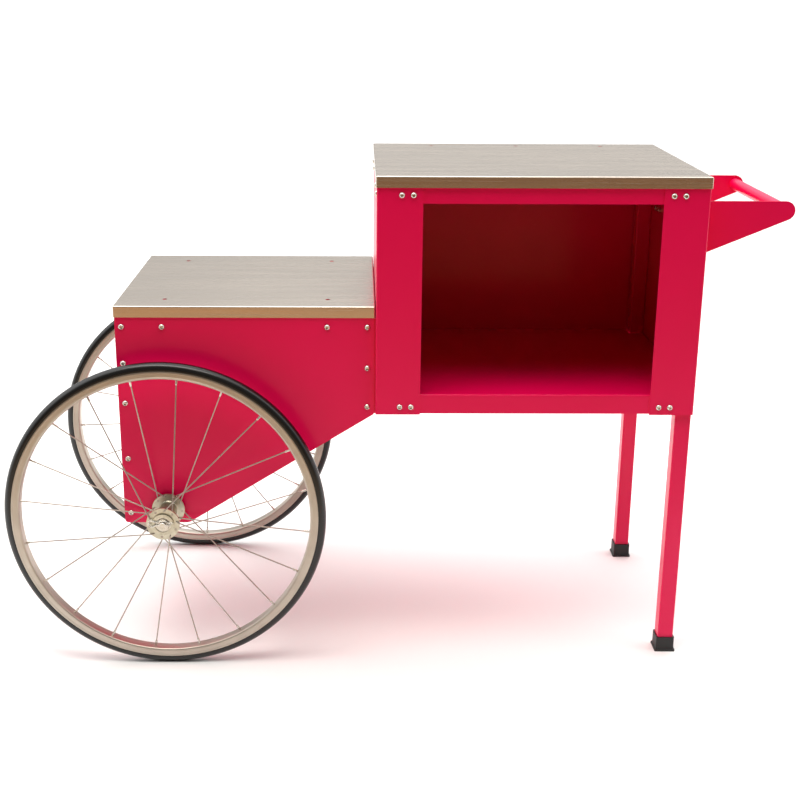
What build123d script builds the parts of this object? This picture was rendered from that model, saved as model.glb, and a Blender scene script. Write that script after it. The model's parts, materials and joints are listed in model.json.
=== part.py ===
from build123d import *
from math import atan2, cos, hypot, radians, sin, tan
import os

os.makedirs("parts", exist_ok=True)

# A two-level popcorn cart: a machine deck over a V-shaped wheel body, beside a taller open cabinet
# that stands on two legs and has a push handle. Millimetres. +X runs from the wheels to the handle,
# -Y is the open front of the cabinet, +Z is up. While modelling, x = 0 is the cabinet's left face and
# y = 0 the cart's middle plane; save() moves everything to the origin that the cart is used with.

# Sheet metal
SHEET = 1.5                 # painted steel sheet
DECK_SHEET = 1.2            # stainless deck sheet
BEND = 1.5                  # inside bend radius of painted sheet
DECK_BEND = 1.0             # inside bend radius of the decks
PANEL_TO_DECK = 1.0         # panel tops stay this far under a deck, clear of its bend

# Cabinet
CABINET_WIDTH = 563.0
CABINET_DEPTH = 468.4
CABINET_BOTTOM = 469.2
STILE_WIDTH = 78.5
UPPER_DECK_TOP = 889.0
UPPER_SKIRT = 19.6
UPPER_FRONT_CLEARANCE = 1.6  # cabinet face to the inside of the skirt, front and back
UPPER_SIDE_CLEARANCE = 0.2
FLOOR_TOP = 506.0
FLOOR_FLANGE = 35.0
TOP_RAIL_HEIGHT = 45.5
FRONT_RAIL_SHELF = 40.0     # the rails' flanges under the deck
REAR_RAIL_SHELF = 60.0
RAIL_LIP = 15.0
RAIL_TAB = 32.0
CHANNEL_WIDTH = 40.0
UPPER_CHANNEL_DEPTH = 40.0
UPPER_CHANNEL_Y = 115.0

# Wheel body, the V-shaped box under the lower deck
BODY_LENGTH = 451.4
BODY_INSET = 13.5           # each side of the body, in from the cabinet's front and back
BODY_NOSE_FLAT = 116.4      # length of the level bottom edge, from the nose
BODY_REAR_BOTTOM = 465.3    # height of the slanted edge where it meets the cabinet
BODY_CORNER = 6.0
BODY_SLANT_R = 20.0         # rounding between the level edge and the slant
LOWER_DECK_TOP = 661.7
LOWER_SKIRT = 20.1
LOWER_SKIRT_CLEARANCE = 0.6
DECK_TO_CABINET = 1.2
BODY_FLANGE = 27.0          # flanges of the nose and the bulkhead, behind the side panels
BODY_RETURN = 16.0          # folded edge along the slant
LOWER_CHANNEL_DEPTH = 48.0
LOWER_CHANNEL_SPREAD = 288.0

# Holes for the machines that stand on the decks
DECK_HOLE_R = 4.25
LOWER_HOLE_SPACING_Y = 337.0
UPPER_HOLE_SPACING = 168.0
UPPER_HOLE_FROM_BACK = 35.4

# Fasteners, M6 button heads with a hex socket
SCREW_R = 3.0
SCREW_HOLE_R = 3.3
HEAD_R = 5.25
HEAD_HEIGHT = 3.3
HEAD_DOME_R = 2.6           # rounding of a head's edge
SOCKET_ACROSS = 4.0
SOCKET_DEPTH = 2.0
NUT_ACROSS = 10.0
NUT_HEIGHT = 5.0
THREAD_CLEARANCE = 0.04
CORNER_SCREW_INSETS = (42.5, 62.3)
TOP_SCREW_DROP = 32.4       # below the upper deck
BOTTOM_SCREW_RISE = 13.8    # above the cabinet's lower edge
BODY_TOP_SCREW_DROP = 37.2  # below the lower deck
BODY_SCREW_INSET = 11.5
NOSE_SCREW_RISES = (19.1, 123.3, 227.8, 301.2)     # above the body's level bottom edge
BULKHEAD_SCREW_RISES = (13.8, 85.0)                # above the slant's upper end
BULKHEAD_BOLT_RISES = (20.0, 100.0)                # above the cabinet's floor
BULKHEAD_BOLT_INSET = 44.14 # outer bolts, in from the body's sides
LOWER_STUD_Y = 88.28        # studs under the lower deck, from the middle plane

# Legs
LEG = 28.6
LEG_WALL = 1.6
LEG_CORNER = 2.5
LEG_SETBACK = 6.5
LEG_TO_DECK = 9.0
LEG_BOLT_RISE = 20.8
FOOT_HEIGHT = 28.0
FOOT_WALL = 2.5
FOOT_FLOOR = 4.0
FOOT_BASE = 38.0
FOOT_BASE_HEIGHT = 3.0
FLOOR_NOTCH_CLEARANCE = 0.8
RAIL_TO_LEG = 1.4

# Handle
HANDLE_INSET = 70.0         # plates' outer faces, in from the cabinet's front and back
HANDLE_REACH = 150.8        # cabinet side to the tube's centre
HANDLE_HEIGHT = 820.9
HANDLE_NOSE_R = 16.7
HANDLE_PLATE = 3.0
HANDLE_ROOT_BOTTOM = 740.0
HANDLE_TUBE_R = 11.0
HANDLE_TUBE_WALL = 1.5
HANDLE_FLANGE = 50.0
HANDLE_FLANGE_MARGIN = 5.0
HANDLE_BOLT_INSETS = (12.0, 39.0)
HANDLE_BOLT_HEIGHTS = (775.0, 815.0)

# Wheels and axle
WHEEL_R = 286.6
WHEEL_TO_BODY = 42.65       # a wheel's middle plane to the body's side
AXLE_FROM_NOSE = 80.75
AXLE_COVER = 29.6           # axle centre above the body's bottom edge
AXLE_R = 6.0
AXLE_RUNNING = 0.05         # radial running clearance of the inner rings on the axle
AXLE_FIT = 0.2              # loose radial fit in fixed pieces
AXLE_CHAMFER = 0.8
AXLE_OVERHANG = 6.0          # axle end beyond the hub
AXLE_TUBE_R = 11.0
AXLE_PLATE = 3.0
AXLE_PLATE_SIZE = 58.0
AXIAL_PLAY = 0.2
RIM_WIDTH = 24.0
RIM_WALL = 2.5
RIM_HEIGHT = 15.0
RIM_BED = 3.0
TYRE_HEIGHT = 13.6          # above the rim's edge
RIM_CORNER = 4.0
TYRE_FOOT_DEPTH = 6.5       # below the rim's edge
TYRE_FOOT_CLEARANCE = 0.3
TYRE_WIDTH = 24.0
TYRE_SHOULDER = 2.0
HUB_FLANGE_R = 29.5
HUB_FLANGE = 3.0
HUB_FLANGE_SPREAD = 67.8
HUB_BARREL_R = 16.0
HUB_BORE_R = 11.5
HUB_LIP_R = 19.5
HUB_LIP = 3.6
HUB_FILLET = 2.0
BEARING_R = 14.0
BEARING_WIDTH = 8.0
BEARING_RECESS = 1.5
BEARING_RING = 2.3
BALL_R = 2.3
BALL_COUNT = 8
BALL_CLEARANCE = 0.06
SPOKE_PAIRS = 5             # crossed pairs on each flange
SPOKE_R = 1.15
SPOKE_HOLE_R = 1.3
SPOKE_CIRCLE_R = 24.5
SPOKE_HEAD_R = 2.1
SPOKE_HEAD = 1.0
SPOKE_LIFT_INSIDE = 0.1     # gap between a spoke and the flange face that it runs along
SPOKE_LIFT_OUTSIDE = 1.3
FIRST_SPOKE = 47.5          # degrees, first hole of the outer flange
REAR_WHEEL_TURN = 5.0       # degrees, where the rear wheel has stopped
NIPPLE_R = 2.0
NIPPLE_LENGTH = 11.0
NIPPLE_HEAD_R = 2.9
NIPPLE_HEAD = 1.6
NIPPLE_HOLE_CLEARANCE = 0.1
NIPPLE_SEAT = 0.7           # heads stand this far off the bed, for the spokes' tilt
SPACER_R = 9.0
WASHER_R = 11.0
WASHER = 2.0
CLIP_WIRE_R = 1.25
CLIP_CLEARANCE = 0.3
CLIP_BEND_R = 2.2
CLIP_HUMP_GAP = 0.2         # between the wavy leg and the axle

# Worked out from the above
HALF_DEPTH = CABINET_DEPTH / 2
BODY_WIDTH = CABINET_DEPTH - 2 * BODY_INSET
HALF_BODY = BODY_WIDTH / 2
TRACK = BODY_WIDTH + 2 * WHEEL_TO_BODY
UPPER_UNDERSIDE = UPPER_DECK_TOP - DECK_SHEET
LOWER_UNDERSIDE = LOWER_DECK_TOP - DECK_SHEET
BODY_RIGHT = -(DECK_TO_CABINET + DECK_SHEET + LOWER_SKIRT_CLEARANCE)
BODY_LEFT = BODY_RIGHT - BODY_LENGTH
BODY_MIDDLE = (BODY_LEFT + BODY_RIGHT) / 2
AXLE_X = BODY_LEFT + AXLE_FROM_NOSE
AXLE_Z = WHEEL_R
RIM_EDGE_R = WHEEL_R - TYRE_HEIGHT
RIM_BED_R = RIM_EDGE_R - RIM_HEIGHT
TYRE_FOOT_R = RIM_EDGE_R - TYRE_FOOT_DEPTH
BODY_BOTTOM = AXLE_Z - AXLE_COVER
FLAT_END = BODY_LEFT + BODY_NOSE_FLAT
SLANT = atan2(BODY_REAR_BOTTOM - BODY_BOTTOM, BODY_RIGHT - FLAT_END)
SLANT_TRIM = BODY_SLANT_R * tan(SLANT / 2)          # length that the rounding takes from each edge
RAIL_END = CABINET_WIDTH - SHEET - LEG - RAIL_TO_LEG
LEG_Y = HALF_DEPTH - LEG_SETBACK - LEG / 2
LEG_X = CABINET_WIDTH - SHEET - LEG / 2
TOP_SCREW_Z = UPPER_DECK_TOP - TOP_SCREW_DROP
BOTTOM_SCREW_Z = CABINET_BOTTOM + BOTTOM_SCREW_RISE
HANDLE_X = CABINET_WIDTH + HANDLE_REACH
HANDLE_OUTER_Y = HALF_DEPTH - HANDLE_INSET
HANDLE_INNER_Y = HANDLE_OUTER_Y - HANDLE_PLATE
HUB_END = HUB_FLANGE_SPREAD / 2 + HUB_FLANGE / 2 + HUB_LIP
BEARING_FACE = HUB_END - BEARING_RECESS
AXLE_END = TRACK / 2 + HUB_END + AXLE_OVERHANG
CLIP_Y = TRACK / 2 + max(BEARING_FACE + AXIAL_PLAY + WASHER, HUB_END) + CLIP_CLEARANCE + CLIP_WIRE_R
ORIGIN_X = (AXLE_X - WHEEL_R + HANDLE_X + HANDLE_NOSE_R) / 2

FRONT, BACK = (0, -1, 0), (0, 1, 0)
LEFT, RIGHT = (-1, 0, 0), (1, 0, 0)
UP = (0, 0, 1)


def save(name, *shapes):
    """Writes one node: every solid of the shapes, moved so that the cart's origin is its middle."""
    solids = [solid for shape in shapes for solid in shape.solids()]
    node = solids[0] if len(solids) == 1 else Compound(solids)
    export_step(Pos(-ORIGIN_X, 0, 0) * node, f"parts/{name}.step")


def block(x0, x1, y0, y1, z0, z1):
    """A box between two corners."""
    return Pos((x0 + x1) / 2, (y0 + y1) / 2, (z0 + z1) / 2) * Box(
        abs(x1 - x0), abs(y1 - y0), abs(z1 - z0))


def facing(point, direction):
    """The place at a point whose Z axis looks along a direction."""
    return Plane(origin=point, z_dir=direction).location


def rod(start, end, radius):
    """A round bar between two points."""
    start, end = Vector(*start), Vector(*end)
    run = end - start
    return facing((start + end) / 2, run) * Cylinder(radius, run.length)


def tray(x0, x1, y0, y1, top, depth, sheet, bend):
    """A sheet folded down on all four sides, open below."""
    place = Pos((x0 + x1) / 2, (y0 + y1) / 2, top)
    length, width = x1 - x0, y1 - y0
    outer = extrude(RectangleRounded(length, width, bend + sheet), -depth)
    outer = fillet(outer.faces().sort_by(Axis.Z)[-1].edges(), bend + sheet)
    inner = extrude(RectangleRounded(length - 2 * sheet, width - 2 * sheet, bend), -depth - sheet)
    inner = fillet(inner.faces().sort_by(Axis.Z)[-1].edges(), bend)
    return place * (outer - Pos(0, 0, -sheet) * inner)


def both_ends(shape):
    """A piece at the cart's front and its mirror image at the back."""
    return shape, mirror(shape, about=Plane.XZ)


def drills(points, direction, depth, radius=SCREW_HOLE_R):
    """Cutters for holes that go in from points on a face that looks along a direction."""
    bit = Pos(0, 0, -depth / 2) * Cylinder(radius, depth + 1)
    return [facing(p, direction) * bit for p in points]


def button_screw(length):
    """A button head screw: Z = 0 is under the head, and the shank points down."""
    head = Pos(0, 0, HEAD_HEIGHT / 2) * Cylinder(HEAD_R, HEAD_HEIGHT)
    head = fillet(head.faces().sort_by(Axis.Z)[-1].edges(), HEAD_DOME_R)
    socket = extrude(RegularPolygon(SOCKET_ACROSS / 2, 6, major_radius=False), SOCKET_DEPTH)
    shank = Pos(0, 0, -length / 2) * Cylinder(SCREW_R, length)
    return head - Pos(0, 0, HEAD_HEIGHT - SOCKET_DEPTH) * socket + shank


def hex_nut():
    """A plain nut whose seat is at Z = 0 and whose body points down."""
    nut = extrude(RegularPolygon(NUT_ACROSS / 2, 6, major_radius=False), -NUT_HEIGHT)
    return nut - Cylinder(SCREW_R + THREAD_CLEARANCE, 3 * NUT_HEIGHT)


def screws(points, direction, grip):
    """Screws through a grip of material, from points on its outer face."""
    one = button_screw(grip + NUT_HEIGHT + SCREW_R / 2)
    return [facing(p, direction) * one for p in points]


def nuts(points, direction, grip):
    """The nuts behind those screws."""
    one = Pos(0, 0, -grip) * hex_nut()
    return [facing(p, direction) * one for p in points]


# Where the screws go
corner_xs = [*CORNER_SCREW_INSETS, *[CABINET_WIDTH - inset for inset in CORNER_SCREW_INSETS]]
front_points = [(x, -HALF_DEPTH, z) for x in corner_xs for z in (TOP_SCREW_Z, BOTTOM_SCREW_Z)]
back_points = [(x, HALF_DEPTH, z) for x in corner_xs for z in (TOP_SCREW_Z, BOTTOM_SCREW_Z)]
channel_ys = (-UPPER_CHANNEL_Y, UPPER_CHANNEL_Y)
left_points = [(0, y, TOP_SCREW_Z) for y in (-LEG_Y, *channel_ys, LEG_Y)]
right_points = [(CABINET_WIDTH, y, TOP_SCREW_Z) for y in channel_ys]
leg_points = [(CABINET_WIDTH, y, z) for y in (-LEG_Y, LEG_Y)
              for z in (TOP_SCREW_Z, CABINET_BOTTOM + LEG_BOLT_RISE)]
handle_points = [(CABINET_WIDTH + HANDLE_PLATE, side * (HANDLE_INNER_Y - inset), z)
                 for side in (-1, 1) for inset in HANDLE_BOLT_INSETS for z in HANDLE_BOLT_HEIGHTS]
bulkhead_points = [(-SHEET, y, FLOOR_TOP + rise)
                   for y in (BULKHEAD_BOLT_INSET - HALF_BODY, 0, HALF_BODY - BULKHEAD_BOLT_INSET)
                   for rise in BULKHEAD_BOLT_RISES]
body_top_z = LOWER_DECK_TOP - BODY_TOP_SCREW_DROP
lower_channel_xs = [BODY_MIDDLE - LOWER_CHANNEL_SPREAD / 2, BODY_MIDDLE + LOWER_CHANNEL_SPREAD / 2]
nose_screw_x = BODY_LEFT + BODY_SCREW_INSET
bulkhead_screw_x = BODY_RIGHT - BODY_SCREW_INSET
body_spots = [(x, body_top_z) for x in (nose_screw_x, *lower_channel_xs, bulkhead_screw_x)]
body_spots += [(nose_screw_x, BODY_BOTTOM + rise) for rise in NOSE_SCREW_RISES]
body_spots += [(bulkhead_screw_x, BODY_REAR_BOTTOM + rise) for rise in BULKHEAD_SCREW_RISES]
body_points = {-1: [(x, -HALF_BODY, z) for x, z in body_spots],
               1: [(x, HALF_BODY, z) for x, z in body_spots]}
upper_stud_points = [(x, y, UPPER_UNDERSIDE) for y in channel_ys
                     for x in (STILE_WIDTH, CABINET_WIDTH - STILE_WIDTH)]
lower_stud_points = [(x, y, LOWER_UNDERSIDE) for x in lower_channel_xs
                     for y in (-LOWER_STUD_Y, LOWER_STUD_Y)]
lower_hole_points = [(x, y, LOWER_DECK_TOP) for x in lower_channel_xs
                     for y in (-LOWER_HOLE_SPACING_Y / 2, LOWER_HOLE_SPACING_Y / 2)]
upper_hole_points = [(CABINET_WIDTH / 2 + i * UPPER_HOLE_SPACING, HALF_DEPTH - UPPER_HOLE_FROM_BACK,
                      UPPER_DECK_TOP) for i in (-1, 0, 1)]


def upper_deck():
    reach = UPPER_FRONT_CLEARANCE + DECK_SHEET + HALF_DEPTH
    side = UPPER_SIDE_CLEARANCE + DECK_SHEET
    deck = tray(-side, CABINET_WIDTH + side, -reach, reach, UPPER_DECK_TOP, UPPER_SKIRT,
                DECK_SHEET, DECK_BEND)
    return deck - drills(upper_hole_points, UP, DECK_SHEET * 3, DECK_HOLE_R)


def lower_deck():
    reach = HALF_BODY + LOWER_SKIRT_CLEARANCE + DECK_SHEET
    left = BODY_LEFT - LOWER_SKIRT_CLEARANCE - DECK_SHEET
    deck = tray(left, -DECK_TO_CABINET, -reach, reach, LOWER_DECK_TOP, LOWER_SKIRT,
                DECK_SHEET, DECK_BEND)
    return deck - drills(lower_hole_points, UP, DECK_SHEET * 3, DECK_HOLE_R)


def cabinet_side():
    """One wall with a wide flange folded round the front and another round the back."""
    outer = Pos(STILE_WIDTH / 2, 0) * Rectangle(STILE_WIDTH, CABINET_DEPTH)
    outer = fillet(outer.vertices().group_by(Axis.X)[0], BEND + SHEET)
    inner = Pos(SHEET + STILE_WIDTH / 2, 0) * Rectangle(STILE_WIDTH, CABINET_DEPTH - 2 * SHEET)
    inner = fillet(inner.vertices().group_by(Axis.X)[0], BEND)
    height = UPPER_UNDERSIDE - PANEL_TO_DECK - CABINET_BOTTOM
    return Pos(0, 0, CABINET_BOTTOM) * extrude(outer - inner, height)


def cabinet_sides():
    left = cabinet_side()
    right = mirror(left, about=Plane.YZ.offset(CABINET_WIDTH / 2))
    stiles = drills(front_points, FRONT, 2 * SHEET) + drills(back_points, BACK, 2 * SHEET)
    wall_holes = drills([(0, y, z) for _, y, z in bulkhead_points + left_points], LEFT, 2 * SHEET)
    left = left - stiles - wall_holes
    side_points = [(CABINET_WIDTH, y, z) for _, y, z in right_points + leg_points + handle_points]
    right = right - stiles - drills(side_points, RIGHT, 2 * SHEET)
    return left, right


def cabinet_back():
    outer = HALF_DEPTH - SHEET
    bottom = FLOOR_TOP - FLOOR_FLANGE
    sheet = block(SHEET + BEND, RAIL_END, outer - SHEET, outer, bottom, UPPER_UNDERSIDE - PANEL_TO_DECK)
    return sheet - drills(back_points, BACK, 4 * SHEET)


def cabinet_floor():
    """A tray whose folded front edge is the rail under the opening, notched round the legs."""
    front, back = HALF_DEPTH - SHEET, HALF_DEPTH - 2 * SHEET
    floor = tray(SHEET, CABINET_WIDTH - SHEET, -front, back, FLOOR_TOP, FLOOR_FLANGE, SHEET, BEND)
    notch_y = LEG_Y - LEG / 2 - FLOOR_NOTCH_CLEARANCE
    for y0, y1 in ((-HALF_DEPTH, -notch_y), (notch_y, HALF_DEPTH)):
        floor = floor - block(RAIL_END, CABINET_WIDTH, y0, y1, CABINET_BOTTOM, FLOOR_TOP + 1)
    return floor - drills(front_points, FRONT, 4 * SHEET) - drills(back_points, BACK, 6 * SHEET)


def top_rail(inset, shelf):
    """The rail over the opening, in its front place: a face, a shelf under the deck, a lip and a tab."""
    face_y = -HALF_DEPTH + inset
    bottom = UPPER_UNDERSIDE - TOP_RAIL_HEIGHT
    top_z = UPPER_UNDERSIDE
    plan = Pos((SHEET + RAIL_END) / 2, face_y + RAIL_TAB / 2) * Rectangle(RAIL_END - SHEET, RAIL_TAB)
    corner = plan.vertices().sort_by_distance((SHEET, face_y, 0))[0]
    plan = fillet(corner, BEND + SHEET)
    hollow = Pos((2 * SHEET + RAIL_END + 1) / 2, face_y + SHEET + RAIL_TAB / 2) * Rectangle(
        RAIL_END + 1 - 2 * SHEET, RAIL_TAB)
    hollow = fillet(hollow.vertices().sort_by_distance((2 * SHEET, face_y + SHEET, 0))[0], BEND)
    rail = Pos(0, 0, bottom) * extrude(plan - hollow, TOP_RAIL_HEIGHT)
    start = SHEET + BEND + SHEET
    rail += block(start, RAIL_END, face_y, face_y + shelf, top_z - SHEET, top_z)
    rail += block(start, RAIL_END, face_y, face_y + RAIL_LIP, bottom, bottom + SHEET)
    return rail


def top_rails():
    front = top_rail(SHEET, FRONT_RAIL_SHELF)
    rear = mirror(top_rail(2 * SHEET, REAR_RAIL_SHELF), about=Plane.XZ)
    tab_holes = drills(left_points, LEFT, 4 * SHEET)
    front = front - drills(front_points, FRONT, 4 * SHEET) - tab_holes
    deck_holes = drills(upper_hole_points, UP, DECK_SHEET + 2 * SHEET, DECK_HOLE_R)
    rear = rear - drills(back_points, BACK, 6 * SHEET) - tab_holes - deck_holes
    return front, rear


def upper_channel(y):
    """A folded channel under the deck, from one cabinet side to the other."""
    half = CHANNEL_WIDTH / 2
    channel = tray(SHEET, CABINET_WIDTH - SHEET, y - half, y + half, UPPER_UNDERSIDE,
                   UPPER_CHANNEL_DEPTH, SHEET, BEND)
    ends = drills(left_points, LEFT, 4 * SHEET) + drills(right_points, RIGHT, 4 * SHEET)
    return channel - ends - drills(upper_stud_points, UP, 3 * SHEET)


def lower_channel(x):
    """A folded channel under the lower deck, from the front side panel to the rear one."""
    half, reach = CHANNEL_WIDTH / 2, HALF_BODY - SHEET
    channel = tray(x - half, x + half, -reach, reach, LOWER_UNDERSIDE, LOWER_CHANNEL_DEPTH, SHEET, BEND)
    ends = drills(body_points[-1], FRONT, 4 * SHEET) + drills(body_points[1], BACK, 4 * SHEET)
    bolts = drills(lower_hole_points, UP, DECK_SHEET + 2 * SHEET, DECK_HOLE_R)
    return channel - ends - bolts - drills(lower_stud_points, UP, 3 * SHEET)


def body_front_panel():
    """The V-shaped side: level along the bottom, then slanted up to the cabinet."""
    top = LOWER_UNDERSIDE - PANEL_TO_DECK
    corners = [(BODY_LEFT, BODY_BOTTOM), (FLAT_END, BODY_BOTTOM), (BODY_RIGHT, BODY_REAR_BOTTOM),
               (BODY_RIGHT, top), (BODY_LEFT, top)]
    outline = make_face(Polyline(*corners, close=True))
    outline = fillet(outline.vertices().sort_by_distance((FLAT_END, BODY_BOTTOM, 0))[0], BODY_SLANT_R)
    outline = fillet(outline.vertices().sort_by_distance((BODY_LEFT, BODY_BOTTOM, 0))[0], BODY_CORNER)
    rise = SHEET / cos(SLANT)
    start_x, end_x = FLAT_END + SLANT_TRIM * cos(SLANT), BODY_RIGHT - BODY_FLANGE - SHEET
    start_z, end_z = (BODY_BOTTOM + tan(SLANT) * (x - FLAT_END) for x in (start_x, end_x))
    edge = make_face(Polyline((start_x, start_z), (end_x, end_z), (end_x, end_z + rise),
                              (start_x, start_z + rise), close=True))
    upright = Plane(origin=(0, -HALF_BODY, 0), x_dir=(1, 0, 0), z_dir=(0, -1, 0)).location
    panel = upright * (extrude(outline, -SHEET) + extrude(edge, -BODY_RETURN))
    axle_hole = drills([(AXLE_X, -HALF_BODY, AXLE_Z)], FRONT, 4 * SHEET, AXLE_R + AXLE_FIT)
    return panel - drills(body_points[-1], FRONT, 2 * SHEET) - axle_hole


def body_nose():
    """The upright end, with a bottom flange under the level edge and a flange on each side."""
    reach = HALF_BODY - SHEET
    top = LOWER_UNDERSIDE - PANEL_TO_DECK
    end = FLAT_END - SLANT_TRIM - 2 * SHEET
    outline = make_face(Polyline((BODY_LEFT, top), (BODY_LEFT, BODY_BOTTOM), (end, BODY_BOTTOM),
                                 (end, BODY_BOTTOM + SHEET), (BODY_LEFT + SHEET, BODY_BOTTOM + SHEET),
                                 (BODY_LEFT + SHEET, top), close=True))
    corner = outline.vertices().sort_by_distance((BODY_LEFT, BODY_BOTTOM, 0))[0]
    outline = fillet(corner, BODY_CORNER)
    corner = outline.vertices().sort_by_distance((BODY_LEFT + SHEET, BODY_BOTTOM + SHEET, 0))[0]
    outline = fillet(corner, BODY_CORNER - SHEET)
    upright = Plane(origin=(0, -reach, 0), x_dir=(1, 0, 0), z_dir=(0, -1, 0)).location
    nose = upright * extrude(outline, -2 * reach)
    for y0, y1 in ((-reach, SHEET - reach), (reach - SHEET, reach)):
        nose += block(BODY_LEFT, BODY_LEFT + BODY_FLANGE, y0, y1, BODY_BOTTOM + BODY_CORNER, top)
    return nose - drills(body_points[-1], FRONT, 4 * SHEET) - drills(body_points[1], BACK, 4 * SHEET)


def body_bulkhead():
    """The wall that bolts to the cabinet, with a flange behind each side panel."""
    reach = HALF_BODY - SHEET
    bottom = BODY_REAR_BOTTOM + SHEET
    top = LOWER_DECK_TOP - LOWER_SKIRT - SHEET
    wall = block(-SHEET, 0, -reach, reach, bottom, top)
    for y0, y1 in ((-reach, SHEET - reach), (reach - SHEET, reach)):
        wall += block(BODY_RIGHT - BODY_FLANGE, 0, y0, y1, bottom, top)
    wall = wall - drills(bulkhead_points, LEFT, 2 * SHEET)
    return wall - drills(body_points[-1], FRONT, 4 * SHEET) - drills(body_points[1], BACK, 4 * SHEET)


def leg():
    """Square tube from its rubber foot up inside the cabinet's corner, at the front."""
    height = UPPER_UNDERSIDE - LEG_TO_DECK - FOOT_FLOOR
    tube = RectangleRounded(LEG, LEG, LEG_CORNER) - RectangleRounded(
        LEG - 2 * LEG_WALL, LEG - 2 * LEG_WALL, LEG_CORNER - LEG_WALL)
    tube = Pos(LEG_X, -LEG_Y, FOOT_FLOOR) * extrude(tube, height)
    return tube - drills(leg_points, RIGHT, SHEET + LEG + 1)


def foot():
    """A push-on rubber foot with a wider base."""
    top = FOOT_BASE_HEIGHT + 1
    outer = LEG + 2 * FOOT_WALL
    body = Pos(0, 0, top) * extrude(RectangleRounded(outer, outer, LEG_CORNER), FOOT_HEIGHT - top)
    base = extrude(RectangleRounded(FOOT_BASE, FOOT_BASE, LEG_CORNER), FOOT_BASE_HEIGHT)
    neck = loft([Pos(0, 0, FOOT_BASE_HEIGHT) * RectangleRounded(FOOT_BASE, FOOT_BASE, LEG_CORNER),
                 Pos(0, 0, top) * RectangleRounded(outer, outer, LEG_CORNER)])
    socket = Pos(0, 0, FOOT_FLOOR) * extrude(RectangleRounded(LEG, LEG, LEG_CORNER), FOOT_HEIGHT)
    return Pos(LEG_X, -LEG_Y, 0) * (body + base + neck - socket)


def handle_plate():
    """A side plate with a rounded nose, and a flange towards the middle that bolts to the cabinet."""
    top = HANDLE_HEIGHT + HANDLE_NOSE_R
    drop = HANDLE_HEIGHT - HANDLE_ROOT_BOTTOM
    tilt = atan2(drop, HANDLE_REACH) - atan2(HANDLE_NOSE_R, hypot(drop, HANDLE_REACH))
    tangent = (HANDLE_X + HANDLE_NOSE_R * sin(tilt), HANDLE_HEIGHT - HANDLE_NOSE_R * cos(tilt))
    outline = make_face([
        Polyline(tangent, (CABINET_WIDTH, HANDLE_ROOT_BOTTOM), (CABINET_WIDTH, top), (HANDLE_X, top)),
        ThreePointArc((HANDLE_X, top), (HANDLE_X + HANDLE_NOSE_R, HANDLE_HEIGHT), tangent)])
    upright = Plane(origin=(0, -HANDLE_OUTER_Y, 0), x_dir=(1, 0, 0), z_dir=(0, -1, 0)).location
    plate = upright * extrude(outline, -HANDLE_PLATE)
    plate += block(CABINET_WIDTH, CABINET_WIDTH + HANDLE_PLATE, -HANDLE_OUTER_Y,
                   -HANDLE_INNER_Y + HANDLE_FLANGE, HANDLE_ROOT_BOTTOM + HANDLE_FLANGE_MARGIN,
                   top - HANDLE_FLANGE_MARGIN)
    return plate - drills(handle_points, RIGHT, 2 * HANDLE_PLATE)


def handle_tube():
    ends = ((HANDLE_X, -HANDLE_INNER_Y, HANDLE_HEIGHT), (HANDLE_X, HANDLE_INNER_Y, HANDLE_HEIGHT))
    return rod(*ends, HANDLE_TUBE_R) - rod(*ends, HANDLE_TUBE_R - HANDLE_TUBE_WALL)


def axle_plate():
    """A square plate inside the front side panel that carries the axle tube."""
    half = AXLE_PLATE_SIZE / 2
    inner = HALF_BODY - SHEET - AXLE_PLATE
    low = AXLE_Z - min(half, AXLE_COVER - SHEET)
    plate = block(AXLE_X - half, AXLE_X + half, -inner - AXLE_PLATE, -inner, low, AXLE_Z + half)
    return plate - drills([(AXLE_X, -HALF_BODY, AXLE_Z)], FRONT, 6 * AXLE_PLATE, AXLE_R + AXLE_FIT)


def axle_sleeve(y0, y1, radius):
    """A ring that fits loosely round the axle, from y0 to y1."""
    ring = rod((AXLE_X, y0, AXLE_Z), (AXLE_X, y1, AXLE_Z), radius)
    return ring - rod((AXLE_X, y0 - 1, AXLE_Z), (AXLE_X, y1 + 1, AXLE_Z), AXLE_R + AXLE_FIT)


def axle():
    bar = rod((AXLE_X, -AXLE_END, AXLE_Z), (AXLE_X, AXLE_END, AXLE_Z), AXLE_R)
    bar = chamfer(bar.edges().filter_by(GeomType.CIRCLE), AXLE_CHAMFER)
    reach = 2 * AXLE_R
    for y in (-CLIP_Y, CLIP_Y):
        bar = bar - rod((AXLE_X - reach, y, AXLE_Z), (AXLE_X + reach, y, AXLE_Z),
                        CLIP_WIRE_R + AXLE_RUNNING)
    return bar


def axle_clip():
    """A sprung wire clip: one straight leg through the axle, one wavy leg over it."""
    hump = AXLE_R + CLIP_WIRE_R + CLIP_HUMP_GAP
    route = [(14, 0), (-12, 0), (-19, -3.5), (-25, 1), (-23.5, 7.5), (-17, 8), (-10, 4.5),
             (-5.5, hump), (5.5, hump), (10, 3.6), (18, 4.6)]
    path = FilletPolyline(*route, radius=CLIP_BEND_R)
    wire = sweep(Plane(origin=(14, 0, 0), z_dir=(-1, 0, 0)) * Circle(CLIP_WIRE_R), path=path)
    upright = Plane(origin=(AXLE_X, -CLIP_Y, AXLE_Z), x_dir=(1, 0, 0), z_dir=(0, -1, 0)).location
    return upright * wire


def wheel_places():
    """Where the two wheels go. A wheel is modelled on Z, with +Z away from the cart."""
    front = Plane(origin=(AXLE_X, -TRACK / 2, AXLE_Z), x_dir=(1, 0, 0), z_dir=(0, -1, 0)).location
    rear = Plane(origin=(AXLE_X, TRACK / 2, AXLE_Z), x_dir=(1, 0, 0), z_dir=(0, 1, 0)).location
    return {"front": front, "rear": rear * Rot(0, 0, REAR_WHEEL_TURN)}


def spun(*profile):
    """A ring turned about Z from a closed profile of lines and arcs in radius and height."""
    return revolve(Plane.XZ * make_face(list(profile)), Axis.Z)


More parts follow.
